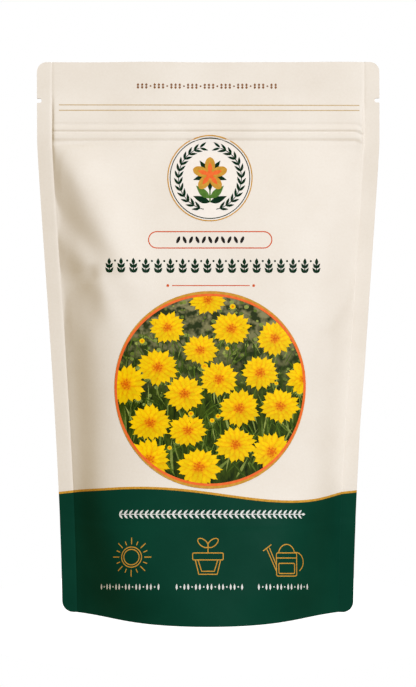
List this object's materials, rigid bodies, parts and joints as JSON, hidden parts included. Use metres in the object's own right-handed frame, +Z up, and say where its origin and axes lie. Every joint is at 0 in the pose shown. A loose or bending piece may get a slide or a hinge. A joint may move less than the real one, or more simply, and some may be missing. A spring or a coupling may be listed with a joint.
{
  "type": "stand-up seed pouch",
  "caption": "Stand-up resealable film pouch with a folded base gusset, a press-to-close zipper and tear notches, filled with loose flower seed.",
  "frame": {"origin": "middle of the base, on the surface the pouch stands on", "axes": "+X to the right seen from the front, +Y to the back (the printed front faces -Y), +Z up"},
  "size_m": [0.16, 0.0696, 0.257],
  "materials": {
    "printed_film": "matte printed laminate film",
    "gusset_film": "matte dark green laminate film",
    "zipper_plastic": "milky polyethylene",
    "seed": "dry seed coats"
  },
  "bodies": {
    "root": {"front_panel": "printed_film", "back_panel": "printed_film", "bottom_gusset": "gusset_film", "zipper_groove_strip": "zipper_plastic", "zipper_rib_strip": "zipper_plastic", "seed_fill": "seed"}
  },
  "joints": []
}
